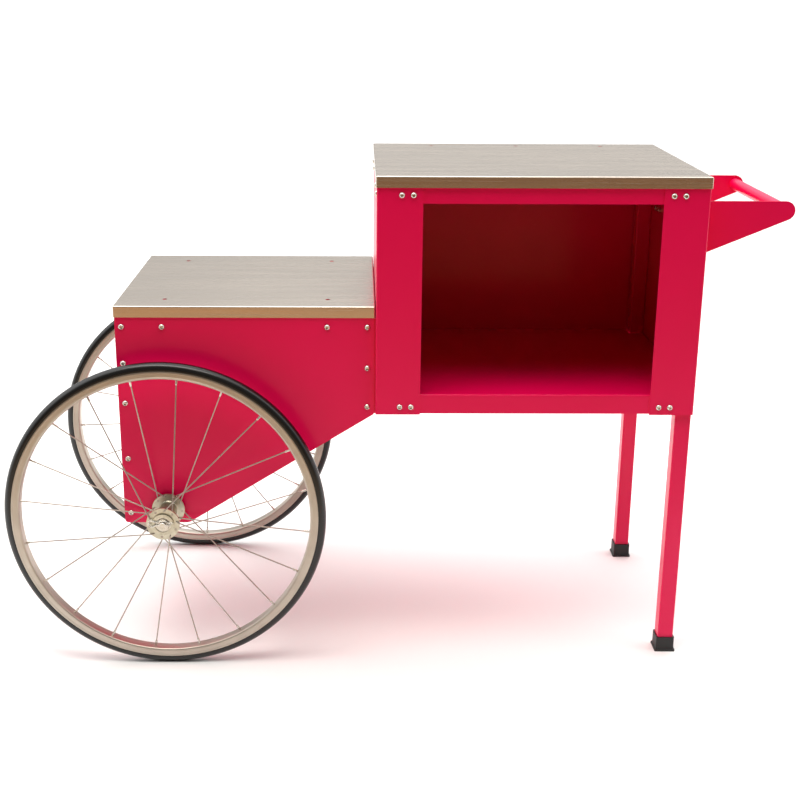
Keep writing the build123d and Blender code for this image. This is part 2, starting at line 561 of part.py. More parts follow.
def tyre():
    foot = RIM_WIDTH / 2 - RIM_WALL - TYRE_FOOT_CLEARANCE
    half = TYRE_WIDTH / 2
    shoulder = RIM_EDGE_R + TYRE_SHOULDER
    sides = Polyline((shoulder, half), (RIM_EDGE_R, half), (RIM_EDGE_R, foot), (TYRE_FOOT_R, foot),
                     (TYRE_FOOT_R, -foot), (RIM_EDGE_R, -foot), (RIM_EDGE_R, -half), (shoulder, -half))
    crown = ThreePointArc((shoulder, -half), (WHEEL_R, 0), (shoulder, half))
    return spun(sides, crown)


def wheel_point(radius, angle, height):
    return Vector(radius * cos(radians(angle)), radius * sin(radians(angle)), height)


def spoke_lines():
    """For each spoke: its hole, its elbow and its nipple, and the side of the flange its head is on."""
    step = 360 / (4 * SPOKE_PAIRS)
    face = HUB_FLANGE_SPREAD / 2
    lines = []
    for flange in (1, -1):
        first = FIRST_SPOKE if flange == 1 else FIRST_SPOKE - step
        for pair in range(SPOKE_PAIRS):
            low = first + pair * 4 * step
            high = low + 2 * step
            for hole, rim, outward, lift in ((low, high, -1, SPOKE_LIFT_INSIDE),
                                             (high, low, 1, SPOKE_LIFT_OUTSIDE)):
                offset = HUB_FLANGE / 2 + SPOKE_R + lift
                elbow = wheel_point(SPOKE_CIRCLE_R, hole, flange * (face + outward * offset))
                hole_at = wheel_point(SPOKE_CIRCLE_R, hole, flange * face)
                lines.append((hole_at, elbow, wheel_point(RIM_BED_R, rim, 0), -outward * flange))
    return lines


def hub_shell():
    flange_in = HUB_FLANGE_SPREAD / 2 - HUB_FLANGE / 2
    flange_out = flange_in + HUB_FLANGE
    seat = BEARING_FACE - BEARING_WIDTH
    upper = [(HUB_BARREL_R, flange_in), (HUB_FLANGE_R, flange_in),
             (HUB_FLANGE_R, flange_out), (HUB_LIP_R, flange_out), (HUB_LIP_R, HUB_END),
             (BEARING_R, HUB_END), (BEARING_R, seat), (HUB_BORE_R, seat)]
    lower = [(r, -z) for r, z in reversed(upper)]
    shell = spun(Polyline(*upper, *lower, close=True))
    roots = [e for e in shell.edges().filter_by(GeomType.CIRCLE)
             if abs(e.radius - HUB_BARREL_R) < 0.01 and abs(abs(e.center().Z) - flange_in) < 0.01]
    shell = fillet(roots, HUB_FILLET)
    holes = [Pos(*hole) * Cylinder(SPOKE_HOLE_R, 3 * HUB_FLANGE) for hole, *_ in spoke_lines()]
    return shell - holes


def rim():
    half, channel = RIM_WIDTH / 2, RIM_WIDTH / 2 - RIM_WALL
    bed = RIM_BED_R + RIM_BED
    profile = make_face(Polyline((RIM_BED_R, -half), (RIM_EDGE_R, -half), (RIM_EDGE_R, -channel),
                                 (bed, -channel), (bed, channel), (RIM_EDGE_R, channel),
                                 (RIM_EDGE_R, half), (RIM_BED_R, half), close=True))
    profile = fillet(profile.vertices().group_by(Axis.X)[0], RIM_CORNER)
    ring = revolve(Plane.XZ * profile, Axis.Z)
    holes = []
    for _, elbow, nipple, _ in spoke_lines():
        way = (nipple - elbow).normalized() * RIM_BED
        holes.append(rod(nipple - way, nipple + 2 * way, NIPPLE_R + NIPPLE_HOLE_CLEARANCE))
    return ring - holes


def spokes():
    """Wire spokes: a head on one side of the flange, an elbow on the other, then a straight run."""
    made = []
    half = HUB_FLANGE / 2
    for hole, elbow, nipple, head_side in spoke_lines():
        head_in = hole + Vector(0, 0, head_side * half)
        head_out = hole + Vector(0, 0, head_side * (half + SPOKE_HEAD))
        wire = rod(head_out, elbow, SPOKE_R) + rod(elbow, nipple, SPOKE_R)
        made.append(wire + Pos(*elbow) * Sphere(SPOKE_R) + rod(head_in, head_out, SPOKE_HEAD_R))
    return made


def nipples():
    """Threaded sleeves whose heads sit on the rim's bed."""
    made = []
    for _, elbow, nipple, _ in spoke_lines():
        way = (nipple - elbow).normalized()
        seat = nipple + way * (RIM_BED + NIPPLE_SEAT)
        sleeve = rod(nipple - way * NIPPLE_LENGTH, seat, NIPPLE_R)
        sleeve += rod(seat, seat + way * NIPPLE_HEAD, NIPPLE_HEAD_R)
        made.append(sleeve - rod(nipple - way * 2 * NIPPLE_LENGTH, nipple, SPOKE_R + THREAD_CLEARANCE))
    return made


def bearing_parts():
    """Inner and outer rings with a ball groove, and the balls, for both ends of a hub."""
    inner_r = AXLE_R + AXLE_RUNNING
    pitch = (inner_r + BEARING_R) / 2
    groove = Torus(pitch, BALL_R + BALL_CLEARANCE)
    outer = Cylinder(BEARING_R, BEARING_WIDTH) - Cylinder(BEARING_R - BEARING_RING, BEARING_WIDTH) - groove
    inner = Cylinder(inner_r + BEARING_RING, BEARING_WIDTH) - Cylinder(inner_r, BEARING_WIDTH) - groove
    ball = Sphere(BALL_R)
    balls = [Rot(0, 0, 360 * i / BALL_COUNT) * Pos(pitch, 0, 0) * ball for i in range(BALL_COUNT)]
    middle = BEARING_FACE - BEARING_WIDTH / 2
    places = [Pos(0, 0, -middle), Pos(0, 0, middle)]
    return [p * r for p in places for r in (outer, inner)], [p * b for p in places for b in balls]


# Decks and the channels under them
save("upper_deck", upper_deck())
save("lower_deck", lower_deck())
save("upper_front_channel", upper_channel(-UPPER_CHANNEL_Y))
save("upper_rear_channel", upper_channel(UPPER_CHANNEL_Y))
save("lower_left_channel", lower_channel(lower_channel_xs[0]))
save("lower_right_channel", lower_channel(lower_channel_xs[1]))

# Cabinet
left_side, right_side = cabinet_sides()
save("cabinet_left_side", left_side)
save("cabinet_right_side", right_side)
save("cabinet_back", cabinet_back())
save("cabinet_floor", cabinet_floor())
front_rail, rear_rail = top_rails()
save("cabinet_front_top_rail", front_rail)
save("cabinet_rear_top_rail", rear_rail)

# Wheel body
for side, panel in zip(("front", "rear"), both_ends(body_front_panel())):
    save(f"body_{side}_panel", panel)
save("body_nose", body_nose())
save("body_bulkhead", body_bulkhead())
for side, plate in zip(("front", "rear"), both_ends(axle_plate())):
    save(f"{side}_axle_plate", plate)

# Legs, feet and handle
for side, tube, rubber in zip(("front", "rear"), both_ends(leg()), both_ends(foot())):
    save(f"{side}_leg", tube)
    save(f"{side}_leg_foot", rubber)
for side, plate in zip(("front", "rear"), both_ends(handle_plate())):
    save(f"{side}_handle_plate", plate)
save("handle_tube", handle_tube())

# Axle and what holds the wheels on it
hub_inner = TRACK / 2 - BEARING_FACE - AXIAL_PLAY
hub_outer = TRACK / 2 + BEARING_FACE + AXIAL_PLAY
save("axle", axle())
tube_end = HALF_BODY - SHEET - AXLE_PLATE
save("axle_tube", axle_sleeve(-tube_end, tube_end, AXLE_TUBE_R))
save("axle_spacers", *both_ends(axle_sleeve(-hub_inner, -HALF_BODY, SPACER_R)))
save("axle_washers", *both_ends(axle_sleeve(-hub_outer - WASHER, -hub_outer, WASHER_R)))
save("axle_clips", *both_ends(axle_clip()))

# Wheels
rings, balls = bearing_parts()
wheel_pieces = {"tyre": [tyre()], "rim": [rim()], "spokes": spokes(), "nipples": nipples(),
                "hub_shell": [hub_shell()], "bearing_rings": rings, "bearing_balls": balls}
for side, place in wheel_places().items():
    for name, pieces in wheel_pieces.items():
        save(f"{side}_{name}", *[place * piece for piece in pieces])

# Fasteners
save("cabinet_front_screws", *screws(front_points, FRONT, 2 * SHEET))
save("cabinet_back_screws", *screws(back_points, BACK, 3 * SHEET))
save("cabinet_side_screws", *screws(left_points, LEFT, 2 * SHEET),
     *screws(right_points, RIGHT, 2 * SHEET))
save("cabinet_nuts", *nuts(front_points, FRONT, 2 * SHEET), *nuts(back_points, BACK, 3 * SHEET),
     *nuts(left_points, LEFT, 2 * SHEET), *nuts(right_points, RIGHT, 2 * SHEET))
save("body_screws", *screws(body_points[-1], FRONT, 2 * SHEET), *screws(body_points[1], BACK, 2 * SHEET))
save("body_nuts", *nuts(body_points[-1], FRONT, 2 * SHEET), *nuts(body_points[1], BACK, 2 * SHEET))
save("bulkhead_screws", *screws(bulkhead_points, LEFT, 2 * SHEET))
save("bulkhead_nuts", *nuts(bulkhead_points, LEFT, 2 * SHEET))
save("leg_bolts", *screws(leg_points, RIGHT, SHEET + LEG))
save("leg_nuts", *nuts(leg_points, RIGHT, SHEET + LEG))
save("handle_bolts", *screws(handle_points, RIGHT, HANDLE_PLATE + SHEET))
save("handle_nuts", *nuts(handle_points, RIGHT, HANDLE_PLATE + SHEET))
stud_length = SHEET + NUT_HEIGHT + SCREW_R / 2
stud_points = upper_stud_points + lower_stud_points
save("deck_studs", *[Pos(x, y, z - stud_length / 2) * Cylinder(SCREW_R, stud_length)
                     for x, y, z in stud_points])
save("deck_nuts", *nuts(stud_points, UP, SHEET))
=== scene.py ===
# %% [markdown]
# # A two-level popcorn cart
# A painted steel cabinet stands on two legs beside a lower, V-shaped body that rides on two large
# spoked wheels. Both have a folded stainless deck on top. The sheet metal comes ready from CAD, so
# this lesson dresses it: it sets up a small studio, mixes the finishes, and makes the pieces whose
# beauty is in fine detail, which are the wheels and the screws.

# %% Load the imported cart
import bmesh
import bpy
import json
import math
from mathutils import Matrix, Vector


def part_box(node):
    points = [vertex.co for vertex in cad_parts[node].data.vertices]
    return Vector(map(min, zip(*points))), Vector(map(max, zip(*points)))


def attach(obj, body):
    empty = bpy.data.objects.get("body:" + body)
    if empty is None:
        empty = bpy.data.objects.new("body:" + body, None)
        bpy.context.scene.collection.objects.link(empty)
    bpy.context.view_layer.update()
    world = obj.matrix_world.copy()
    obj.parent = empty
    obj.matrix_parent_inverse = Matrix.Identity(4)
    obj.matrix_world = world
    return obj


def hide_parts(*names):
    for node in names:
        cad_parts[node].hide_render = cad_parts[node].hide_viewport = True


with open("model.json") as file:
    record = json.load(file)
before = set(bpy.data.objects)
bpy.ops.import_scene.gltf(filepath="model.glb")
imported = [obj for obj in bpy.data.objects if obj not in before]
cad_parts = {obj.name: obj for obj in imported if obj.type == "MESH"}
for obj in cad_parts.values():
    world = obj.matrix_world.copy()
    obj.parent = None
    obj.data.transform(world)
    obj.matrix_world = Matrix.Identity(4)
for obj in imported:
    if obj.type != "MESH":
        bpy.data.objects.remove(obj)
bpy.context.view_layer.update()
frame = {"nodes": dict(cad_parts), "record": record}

# %% [markdown]
# ## The camera
# A cart shows best from a few metres away, a little above deck height, looking down so that the
# deck tops show. A longer lens keeps the legs and walls nearly parallel. The camera's turn is built
# from three plain angles: the heading, the tilt and a slight roll.

# %% Camera
MM = 0.001
CAMERA_PLACE = (-0.063885, -2.42105, 1.19129)
HEADING, TILT, ROLL = (math.radians(angle) for angle in (-0.575, 72.29, 0.29))

camera_data = bpy.data.cameras.new("product_camera")
camera_data.sensor_width = 36.0
camera_data.lens = 58.63
camera_data.shift_x, camera_data.shift_y = 0.0355, 0.0022
camera = bpy.data.objects.new("product_camera", camera_data)
bpy.context.collection.objects.link(camera)
camera.matrix_world = (Matrix.Translation(CAMERA_PLACE) @ Matrix.Rotation(HEADING, 4, "Z")
                       @ Matrix.Rotation(TILT, 4, "X") @ Matrix.Rotation(ROLL, 4, "Z"))
bpy.context.scene.camera = camera
print("camera stands", round(camera.location.z, 2), "m above the floor")

# %% [markdown]
# ## One function for nodes, one for colours
# Every finish is a small network of shader nodes. One function adds a node, sets its properties and
# sockets, and joins its inputs. Colours are written as sRGB hex, as in a paint chart, and one
# function turns them into the linear light values that the shader needs.

# %% Node and colour helpers
def linear(hex_colour):
    """An sRGB hex colour as linear red, green, blue and alpha."""
    values = [int(hex_colour[i:i + 2], 16) / 255 for i in (0, 2, 4)]
    light = [v / 12.92 if v <= 0.04045 else ((v + 0.055) / 1.055) ** 2.4 for v in values]
    return (*light, 1.0)


def add(tree, kind, settings=None, links=None):
    """Adds a node. Settings go to its properties by name, or to its inputs by name or number."""
    node = tree.nodes.new(kind)
    for name, value in (settings or {}).items():
        if isinstance(name, str) and hasattr(node, name):
            setattr(node, name, value)
        else:
            node.inputs[name].default_value = value
    for name, source in (links or {}).items():
        tree.links.new(source, node.inputs[name])
    return node


# %% [markdown]
# ## The studio
# The floor is plain and pale. A broad lamp above the front left gives the soft top light of a tent,
# and a weaker one fills in from behind. The sky around is bright, except in front, where it is like
# a dark room. A warm card lies in front and out of shot, so that bright metal edges have something
# darker to mirror. The floor over it is seen by the camera alone, so the card shows only in
# reflections and in its own faint bounce. The dark part of the sky gives almost no light, but
# reflections see it as grey, so that steel never looks black.

# %% Floor, card, lamps and sky
def flat_stage(name, x0, x1, y0, y1, z, material):
    """A flat sheet that belongs to the studio, not to the cart."""
    mesh = bpy.data.meshes.new(name)
    mesh.from_pydata([(x0, y0, z), (x1, y0, z), (x1, y1, z), (x0, y1, z)], [], [(0, 1, 2, 3)])
    sheet = bpy.data.objects.new(name, mesh)
    bpy.context.collection.objects.link(sheet)
    sheet.data.materials.append(material)
    return sheet


def matt(name, colour):
    """A matt studio surface, with its tree and its shader."""
    material = bpy.data.materials.new(name)
    material.use_nodes = True
    shader = material.node_tree.nodes["Principled BSDF"]
    shader.inputs["Roughness"].default_value = 0.9
    shader.inputs["Specular IOR Level"].default_value = 0.1
    shader.inputs["Base Color"].default_value = linear(colour)
    return material, material.node_tree, shader


FLOOR_HALF = 400.0                      # metres, so far that its edge is never seen
CARD_NEAR, CARD_DARK, CARD_FAR = -0.9, -6.5, -16.0     # places along Y
CARD_HALF, CARD_UNDER = 8.0, -0.004     # half its width, and its height just under the floor

floor_paint, _, _ = matt("pale_floor_paint", "F4F3F1")
flat_stage("pale_floor", -FLOOR_HALF, FLOOR_HALF, CARD_NEAR, FLOOR_HALF, 0.0, floor_paint)
front_floor = flat_stage("pale_floor_in_front", -FLOOR_HALF, FLOOR_HALF, -FLOOR_HALF, CARD_NEAR,
                         0.0, floor_paint)
front_floor.visible_diffuse = front_floor.visible_glossy = front_floor.visible_shadow = False

card_paint, tree, shader = matt("warm_card_paint", "FFFFFF")
place = add(tree, "ShaderNodeTexCoord")
along = add(tree, "ShaderNodeSeparateXYZ", links={0: place.outputs["Object"]})
away = add(tree, "ShaderNodeMapRange", {"From Min": CARD_NEAR, "From Max": CARD_DARK},
           {"Value": along.outputs["Y"]})
fade = add(tree, "ShaderNodeValToRGB", links={0: away.outputs[0]})
fade.color_ramp.elements[0].color = linear("D2C4B0")
fade.color_ramp.elements[1].color = linear("40220F")
fade.color_ramp.elements.new(0.36).color = linear("A67846")
tree.links.new(fade.outputs[0], shader.inputs["Base Color"])
flat_stage("warm_card", -CARD_HALF, CARD_HALF, CARD_FAR, CARD_NEAR, CARD_UNDER, card_paint)


def soft_lamp(name, place, aim, size, watts, colour):
    """A rectangular lamp in one place that faces another. Sizes are in metres."""
    light = bpy.data.lights.new(name, "AREA")
    light.shape, light.size, light.size_y = "RECTANGLE", size[0], size[1]
    light.energy, light.color = watts, linear(colour)[:3]
    lamp = bpy.data.objects.new(name, light)
    bpy.context.collection.objects.link(lamp)
    turn = (Vector(aim) - Vector(place)).to_track_quat("-Z", "Y").to_matrix().to_4x4()
    lamp.matrix_world = Matrix.Translation(place) @ turn


soft_lamp("top_tent", (-0.6, -1.1, 3.9), (0.0, 0.0, 0.4), (3.0, 1.2), 62, "FFF8F0")
soft_lamp("back_tent", (0.6, 2.6, 3.2), (0.0, 0.3, 0.4), (3.0, 2.0), 30, "FFFFFF")

world = bpy.data.worlds.new("studio_sky")
bpy.context.scene.world = world
world.use_nodes = True
sky = world.node_tree
look = add(sky, "ShaderNodeTexCoord")
way = add(sky, "ShaderNodeSeparateXYZ", links={0: look.outputs["Generated"]})


def eased(value, settings):
    """A soft step of a value, from From Min to From Max."""
    return add(sky, "ShaderNodeMapRange", {"interpolation_type": "SMOOTHSTEP", **settings},
               {"Value": value})


# The sky brightens towards the top and to both sides, in units of plain white.
dome = eased(way.outputs["Z"], {"From Min": 0.15, "From Max": 0.85,
                                "To Min": 0.456, "To Max": 2.185})
sideways = add(sky, "ShaderNodeMath", {"operation": "ABSOLUTE"}, {0: way.outputs["X"]})
sides = eased(sideways.outputs[0], {"From Min": 0.5, "From Max": 0.9, "To Max": 0.855})
bright = add(sky, "ShaderNodeMath", {"operation": "ADD"}, {0: dome.outputs[0], 1: sides.outputs[0]})

# In front it is dark, and grey to reflections.
front = add(sky, "ShaderNodeVectorMath", {"operation": "DOT_PRODUCT", 1: (0.0, -1.0, 0.0)},
            {0: look.outputs["Generated"]})
dark = eased(front.outputs["Value"], {"From Min": 0.2, "From Max": 0.55})
rays = add(sky, "ShaderNodeLightPath")
unlit = add(sky, "ShaderNodeMix", {"data_type": "RGBA", 6: linear("130C08"), 7: linear("898279")},
            {0: rays.outputs["Is Glossy Ray"]})
room = add(sky, "ShaderNodeMix", {"data_type": "RGBA"},
           {0: dark.outputs[0], 6: bright.outputs[0], 7: unlit.outputs[2]})

# The camera itself sees plain white behind the cart.
seen = add(sky, "ShaderNodeMix", {"data_type": "RGBA", 7: linear("FFFFFF")},
           {0: rays.outputs["Is Camera Ray"], 6: room.outputs[2]})
sky.links.new(seen.outputs[2], sky.nodes["Background"].inputs["Color"])
sky.nodes["Background"].inputs["Strength"].default_value = 1.0
bpy.context.scene.view_settings.view_transform = "Standard"
print("studio: a floor in two parts, 1 card, 2 lamps")

# %% [markdown]
# ## The paint
# The cabinet, body, legs and handle are steel sheet and tube with a baked gloss powder coat in hot
# pink. The eye sees one strong colour under a clear shine, and a very soft waviness in reflections,
# called orange peel, where the molten powder did not flow quite flat. Noise about 3 mm across gives
# that bump. The real one is nearer 1 mm, which is too fine to show at this distance.

# %% Pink powder coat
def new_finish(name):
    """A material with its shader, and the object coordinates that every pattern starts from."""
    material = bpy.data.materials.new(name)
    material.use_nodes = True
    tree = material.node_tree
    place = add(tree, "ShaderNodeTexCoord")
    return material, tree, tree.nodes["Principled BSDF"], place.outputs["Object"]


def set_all(shader, **values):
    """Sets plain values on a shader. An underscore stands for the space in a socket's name."""
    for name, value in values.items():
        shader.inputs[name.replace("_", " ")].default_value = value


def join_to_shader(tree, shader, tint, roughness, bump):
    """The last links of every finish: its colour, its roughness and its bump."""
    tree.links.new(tint.outputs[2], shader.inputs["Base Color"])
    tree.links.new(roughness.outputs[0], shader.inputs["Roughness"])
    tree.links.new(bump.outputs["Normal"], shader.inputs["Normal"])


def powder_coat(name, colour, shade):
    """Gloss paint that drifts a little between two colours, with orange peel."""
    material, tree, shader, place = new_finish(name)
    set_all(shader, IOR=1.5, Specular_IOR_Level=0.25, Coat_Weight=0.12, Coat_Roughness=0.12)
    drift = add(tree, "ShaderNodeTexNoise", {"Scale": 1 / (180 * MM), "Detail": 2.0},
                {"Vector": place})
    tint = add(tree, "ShaderNodeMix", {"data_type": "RGBA", 6: linear(colour), 7: linear(shade)},
               {0: drift.outputs["Fac"]})
    peel = add(tree, "ShaderNodeTexNoise", {"Scale": 1 / (3 * MM), "Detail": 2.0},
               {"Vector": place})
    bump = add(tree, "ShaderNodeBump", {"Strength": 0.06, "Distance": 0.2 * MM},
               {"Height": peel.outputs["Fac"]})
    gloss = add(tree, "ShaderNodeMapRange", {"To Min": 0.26, "To Max": 0.36},
                {"Value": drift.outputs["Fac"]})
    join_to_shader(tree, shader, tint, gloss, bump)
    return material


pink_paint = powder_coat("hot_pink_powder_coat", "EE0356", "E7024C")
print("paint:", pink_paint.name)

# %% [markdown]
# ## Brushed stainless
# The decks are stainless sheet that was brushed from side to side with a fine belt. The eye sees
# thin streaks along the length and broader, fainter bands where the belt overlapped, with a soft
# reflection that smears across the streaks. Stretched noise gives both. Real scratches are about
# 0.1 mm apart, and are drawn 2 mm apart so that they show.

# %% Brushed metals
STREAK, BAND = (180.0, 2.0), (700.0, 26.0)     # length and width in millimetres


def brushed_steel(name, colour, shade, rough=(0.20, 0.31)):
    """Steel with fine streaks and broad bands along X."""
    material, tree, shader, place = new_finish(name)
    set_all(shader, Metallic=1.0)

    def stretched_noise(size, detail):
        long, wide = size
        scale = (1 / (long * MM), 1 / (wide * MM), 1 / (wide * MM))
        run = add(tree, "ShaderNodeMapping", {"Scale": scale}, {"Vector": place})
        return add(tree, "ShaderNodeTexNoise", {"Scale": 1.0, "Detail": detail},
                   {"Vector": run.outputs[0]})

    lines, bands = stretched_noise(STREAK, 3.0), stretched_noise(BAND, 2.0)
    tone = add(tree, "ShaderNodeMath", {"operation": "MULTIPLY_ADD", 1: 0.55},
               {0: bands.outputs["Fac"], 2: lines.outputs["Fac"]})
    level = add(tree, "ShaderNodeMapRange", {"From Min": 0.45, "From Max": 1.1},
                {"Value": tone.outputs[0]})
    tint = add(tree, "ShaderNodeMix", {"data_type": "RGBA", 6: linear(shade), 7: linear(colour)},
               {0: level.outputs[0]})
    spread = add(tree, "ShaderNodeMapRange", {"To Min": rough[1], "To Max": rough[0]},
                 {"Value": level.outputs[0]})
    bump = add(tree, "ShaderNodeBump", {"Strength": 0.12, "Distance": 0.1 * MM},
               {"Height": lines.outputs["Fac"]})
    join_to_shader(tree, shader, tint, spread, bump)
    return material


deck_steel = brushed_steel("brushed_stainless_sheet", "DFD3C6", "CBBFB1")

# %% [markdown]
# ## Bright small metals and rubbers
# Screws, nuts, clips and the axle are zinc plated steel, which is bright with a slightly cloudy
# reflection. Rims and hubs are satin anodised aluminium, spokes are drawn stainless wire. Tyres
# and feet are black rubber, whose faint mould grain breaks up its shine. All of them are the same
# recipe with other numbers: a base colour that drifts a little, and a fine grain in the bump.

# %% Cloudy metal and rubber
def grained(name, colour, shade, metallic, rough, cloud, grain, bump_strength):
    """Cloud and grain are the sizes in millimetres of the colour drift and of the surface grain."""
    material, tree, shader, place = new_finish(name)
    set_all(shader, Metallic=metallic)
    drift = add(tree, "ShaderNodeTexNoise", {"Scale": 1 / (cloud * MM), "Detail": 3.0},
                {"Vector": place})
    tint = add(tree, "ShaderNodeMix", {"data_type": "RGBA", 6: linear(colour), 7: linear(shade)},
               {0: drift.outputs["Fac"]})
    spread = add(tree, "ShaderNodeMapRange", {"To Min": rough[0], "To Max": rough[1]},
                 {"Value": drift.outputs["Fac"]})
    fine = add(tree, "ShaderNodeTexNoise", {"Scale": 1 / (grain * MM), "Detail": 2.0},
               {"Vector": place})
    bump = add(tree, "ShaderNodeBump", {"Strength": bump_strength, "Distance": 0.1 * MM},
               {"Height": fine.outputs["Fac"]})
    join_to_shader(tree, shader, tint, spread, bump)
    return material


zinc = grained("bright_zinc_plate", "E2DFD8", "BFBBB2", metallic=1.0, rough=(0.14, 0.30),
               cloud=4.0, grain=0.8, bump_strength=0.10)
alloy = grained("satin_anodised_aluminium", "C0B7AB", "A69C90", metallic=1.0, rough=(0.30, 0.42),
                cloud=40.0, grain=1.2, bump_strength=0.10)
hub_alloy = grained("turned_aluminium", "DAD6C8", "A8A592", metallic=1.0, rough=(0.22, 0.38),
                    cloud=9.0, grain=0.9, bump_strength=0.12)
wire = grained("drawn_stainless_wire", "B9AFA5", "968C82", metallic=1.0, rough=(0.24, 0.36),
               cloud=12.0, grain=0.8, bump_strength=0.06)
tyre_rubber = grained("smooth_tyre_rubber", "050506", "0A0A0A", metallic=0.0, rough=(0.20, 0.30),
                      cloud=60.0, grain=1.6, bump_strength=0.12)
foot_rubber = grained("moulded_foot_rubber", "111111", "1A1A1A", metallic=0.0, rough=(0.48, 0.62),
                      cloud=20.0, grain=1.5, bump_strength=0.30)

finish_of_slot = {"crimson_paint": pink_paint, "stainless": deck_steel, "zinc": zinc,
                  "alloy": alloy, "spoke_steel": wire, "tyre_rubber": tyre_rubber,
                  "foot_rubber": foot_rubber}
for part in frame["record"]["subparts"]:
    node = frame["nodes"][part["node"]]
    finish = hub_alloy if "hub" in part["node"] else finish_of_slot[part["material_slot"]]
    if not node.material_slots:
        node.data.materials.append(finish)
    for slot in node.material_slots:
        slot.link = "OBJECT"
        slot.material = finish

# %% [markdown]
# ## Where the wheels sit
# Everything on a wheel is round, so it is drawn about the Z axis at the origin, where the sums are
# easy, and then carried to its place. The hub in the CAD model says where that is. Each wheel's own
# Z axis points away from the cart, and the rear wheel has stopped a few degrees further round.

# %% Wheel places
BODY_OF = {"front": "front_wheel", "rear": "rear_wheel"}
REAR_TURN = math.radians(5.0)


def wheel_place(side):
    """The matrix that carries a wheel from the origin to its place on the cart."""
    low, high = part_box(f"{side}_hub_shell")
    centre = [(l + h) / 2 for l, h in zip(low, high)]
    out = -1.0 if side == "front" else 1.0
    axes = Matrix(((1, 0, 0, 0), (0, 0, out, 0), (0, -out, 0, 0), (0, 0, 0, 1)))
    turn = Matrix.Rotation(REAR_TURN if side == "rear" else 0.0, 4, "Z")
    return Matrix.Translation(centre) @ axes @ turn


places = {side: wheel_place(side) for side in BODY_OF}
tyre_low, tyre_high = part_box("front_tyre")
rim_low, rim_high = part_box("front_rim")
TYRE_R = (tyre_high[2] - tyre_low[2]) / 2
RIM_R = (rim_high[2] - rim_low[2]) / 2
RIM_HALF = (rim_high[1] - rim_low[1]) / 2
print("wheel radius", round(TYRE_R / MM, 1), "mm, rim radius", round(RIM_R / MM, 1), "mm")

# %% [markdown]
# ## Tyres and rims
# A tyre and a rim are one outline carried round a circle. Blender could do that with its Screw
# modifier, or with a curve swept along a circle. Here a short function turns the outline itself,
# so that the number of steps and the closing seam are exact. The tyre is smooth, with a pair of
# fine mould lines beside the crown. The rim is a channel with rounded lips that hold the tyre,
# and a shallow band sunk in its side wall that catches a thin line of light. All sizes below are in
# millimetres.

# %% Turned rings
RING_STEPS, SMALL_STEPS = 180, 12
RIM_WALL, RIM_HEIGHT, RIM_CORNER = 2.5, 15.0, 4.0
SKIN, BAND_DEPTH = 0.1, 0.5             # side faces and the sunk band, in from the CAD rim's side
TYRE_FOOT_INSET, TYRE_FOOT_DEPTH, TYRE_SHOULDER = 2.8, 6.5, 2.0
LINE_DEPTH, LINE_FROM, LINE_TO = 0.25, 4.2, 5.4     # mould lines, from the middle plane
CROWN_STEPS = 20


def new_piece(name, mesh, material=None):
    """Puts a mesh in the scene as a piece whose object stays at the origin."""
    if material:
        mesh.materials.clear()
        mesh.materials.append(material)
    for face in mesh.polygons:
        face.use_smooth = True
    piece = bpy.data.objects.new(name, mesh)
    bpy.context.collection.objects.link(piece)
    return piece


def turned(name, outline, steps=RING_STEPS, closed=True):
    """A mesh made by turning an outline of (radius, height) in millimetres about Z."""
    count = len(outline)
    points = [(r * MM * math.cos(a), r * MM * math.sin(a), h * MM)
              for a in (2 * math.pi * i / steps for i in range(steps)) for r, h in outline]
    faces = []
    for i in range(steps):
        here, there = i * count, ((i + 1) % steps) * count
        for j in range(count if closed else count - 1):
            k = (j + 1) % count
            faces.append((here + j, there + j, there + k, here + k))
    mesh = bpy.data.meshes.new(name)
    mesh.from_pydata(points, [], faces)
    weld_and_face_out(mesh)
    return mesh


def weld_and_face_out(mesh):
    """Joins points that coincide and turns every face outward."""
    work = bmesh.new()
    work.from_mesh(mesh)
    bmesh.ops.remove_doubles(work, verts=work.verts, dist=0.002 * MM)
    bmesh.ops.recalc_face_normals(work, faces=work.faces)
    work.to_mesh(mesh)
    work.free()


def arc(cx, cy, radius, start, end, steps):
    """Points on a circle's arc, from one angle to another in degrees."""
    turns = (math.radians(start + (end - start) * i / steps) for i in range(steps + 1))
    return [(cx + radius * math.cos(a), cy + radius * math.sin(a)) for a in turns]


def tyre_outline():
    """A round crown on a foot that sits between the rim's walls."""
    outer, half, edge = TYRE_R / MM, RIM_HALF / MM, RIM_R / MM
    foot, sole = half - TYRE_FOOT_INSET, edge - TYRE_FOOT_DEPTH
    rise = outer - edge - TYRE_SHOULDER
    radius = (half ** 2 + rise ** 2) / (2 * rise)
    spread = math.degrees(math.asin(half / radius))
    crown = arc(outer - radius, 0, radius, -spread, spread, CROWN_STEPS)
    lined = [(r - LINE_DEPTH if LINE_FROM < abs(h) < LINE_TO else r, h) for r, h in crown]
    return lined + [(edge + 0.4, half - SKIN), (edge + 0.1, half - 0.9), (edge, foot),
                    (sole, foot), (sole, -foot), (edge, -foot),
                    (edge + 0.1, 0.9 - half), (edge + 0.4, SKIN - half)]


